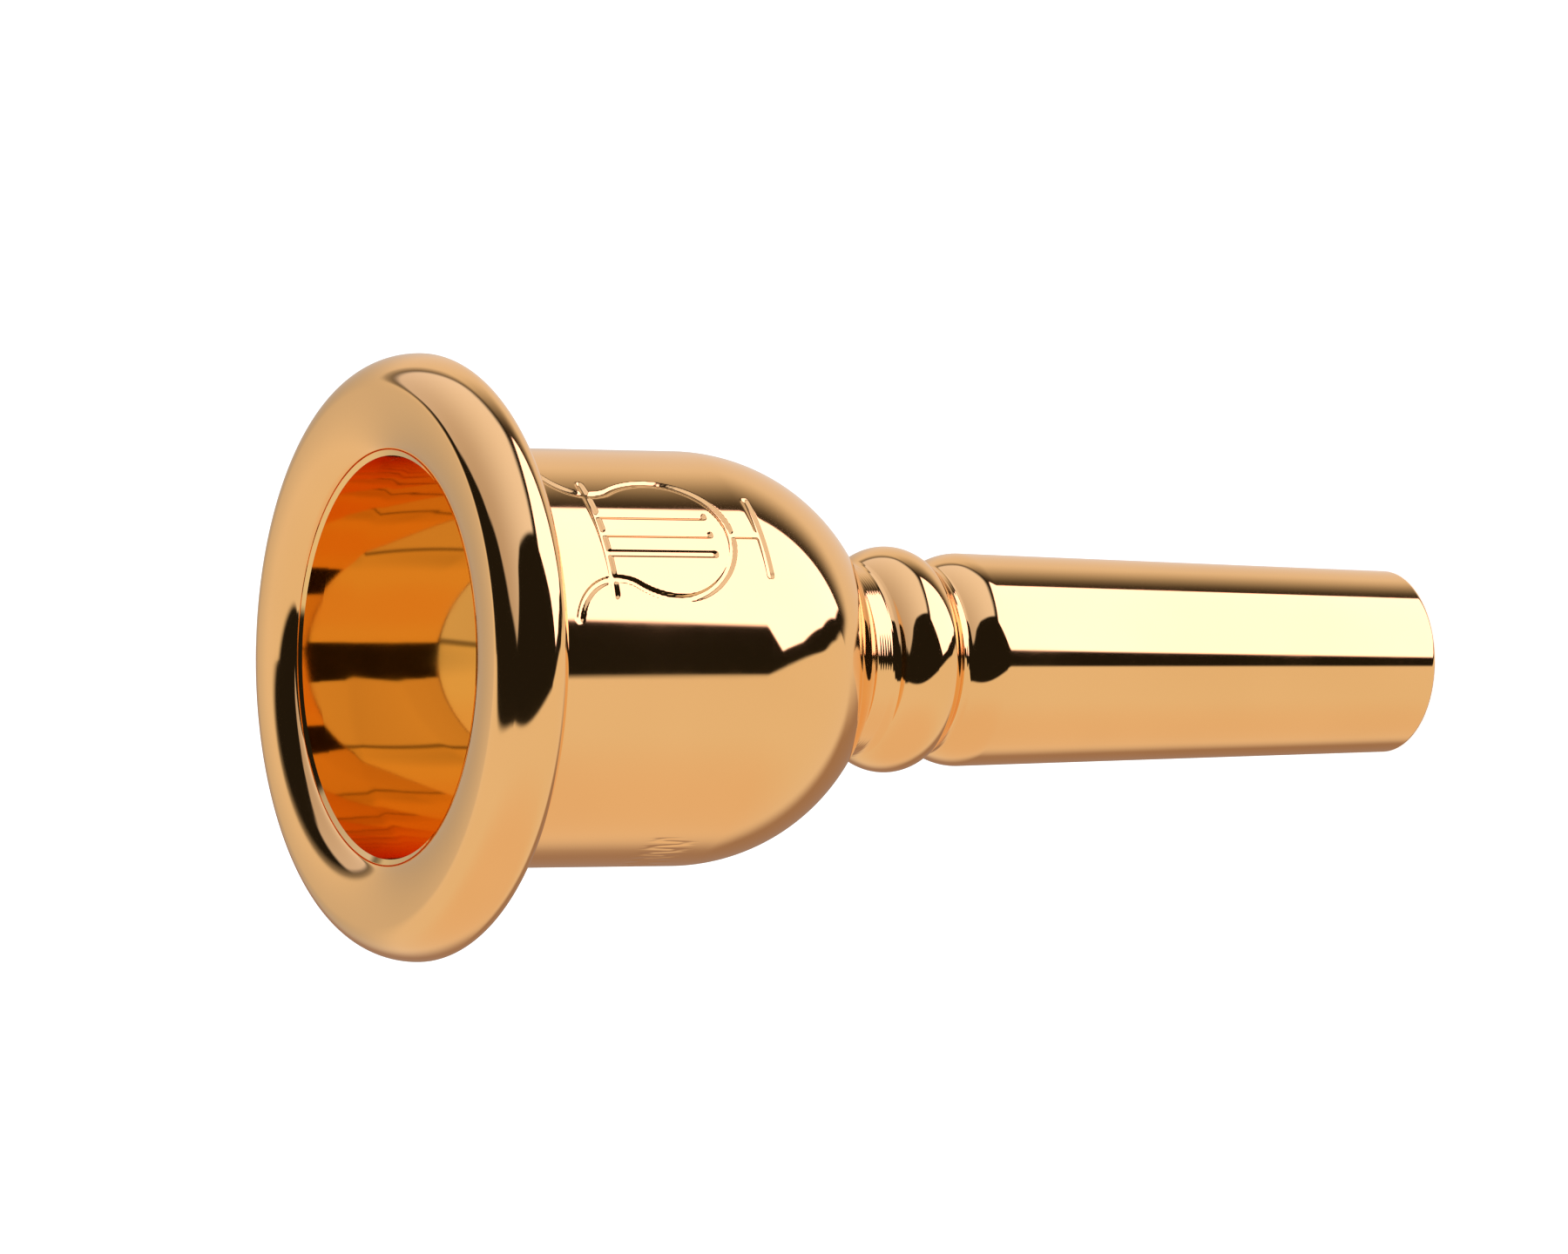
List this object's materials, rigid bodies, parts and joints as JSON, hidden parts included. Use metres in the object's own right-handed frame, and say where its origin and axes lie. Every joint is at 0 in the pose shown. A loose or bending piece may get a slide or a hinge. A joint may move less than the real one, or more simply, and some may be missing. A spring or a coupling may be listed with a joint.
{
  "type": "brass instrument mouthpiece",
  "caption": "Gold-finished brass mouthpiece with a wide rounded rim, a cup and a tapered shank that screw together.",
  "frame": {"origin": "centre of the shank's end face, on the mouthpiece's axis", "axes": "+Z along the axis from the shank's end to the rim; -Y is the side that carries the engraved lyre"},
  "size_m": [0.0396, 0.0396, 0.079],
  "materials": {
    "polished_gold": "mirror-polished gold plate over brass"
  },
  "bodies": {
    "shank": {"shank": "polished_gold"},
    "cup": {"cup": "polished_gold"},
    "rim": {"rim": "polished_gold"}
  },
  "joints": [
    {"name": "cup_lift", "type": "slide", "parent": "shank", "child": "cup", "axis": [0, 0, 1], "range_m": [0, 0.015]},
    {"name": "rim_lift", "type": "slide", "parent": "cup", "child": "rim", "axis": [0, 0, 1], "range_m": [0, 0.01]}
  ]
}
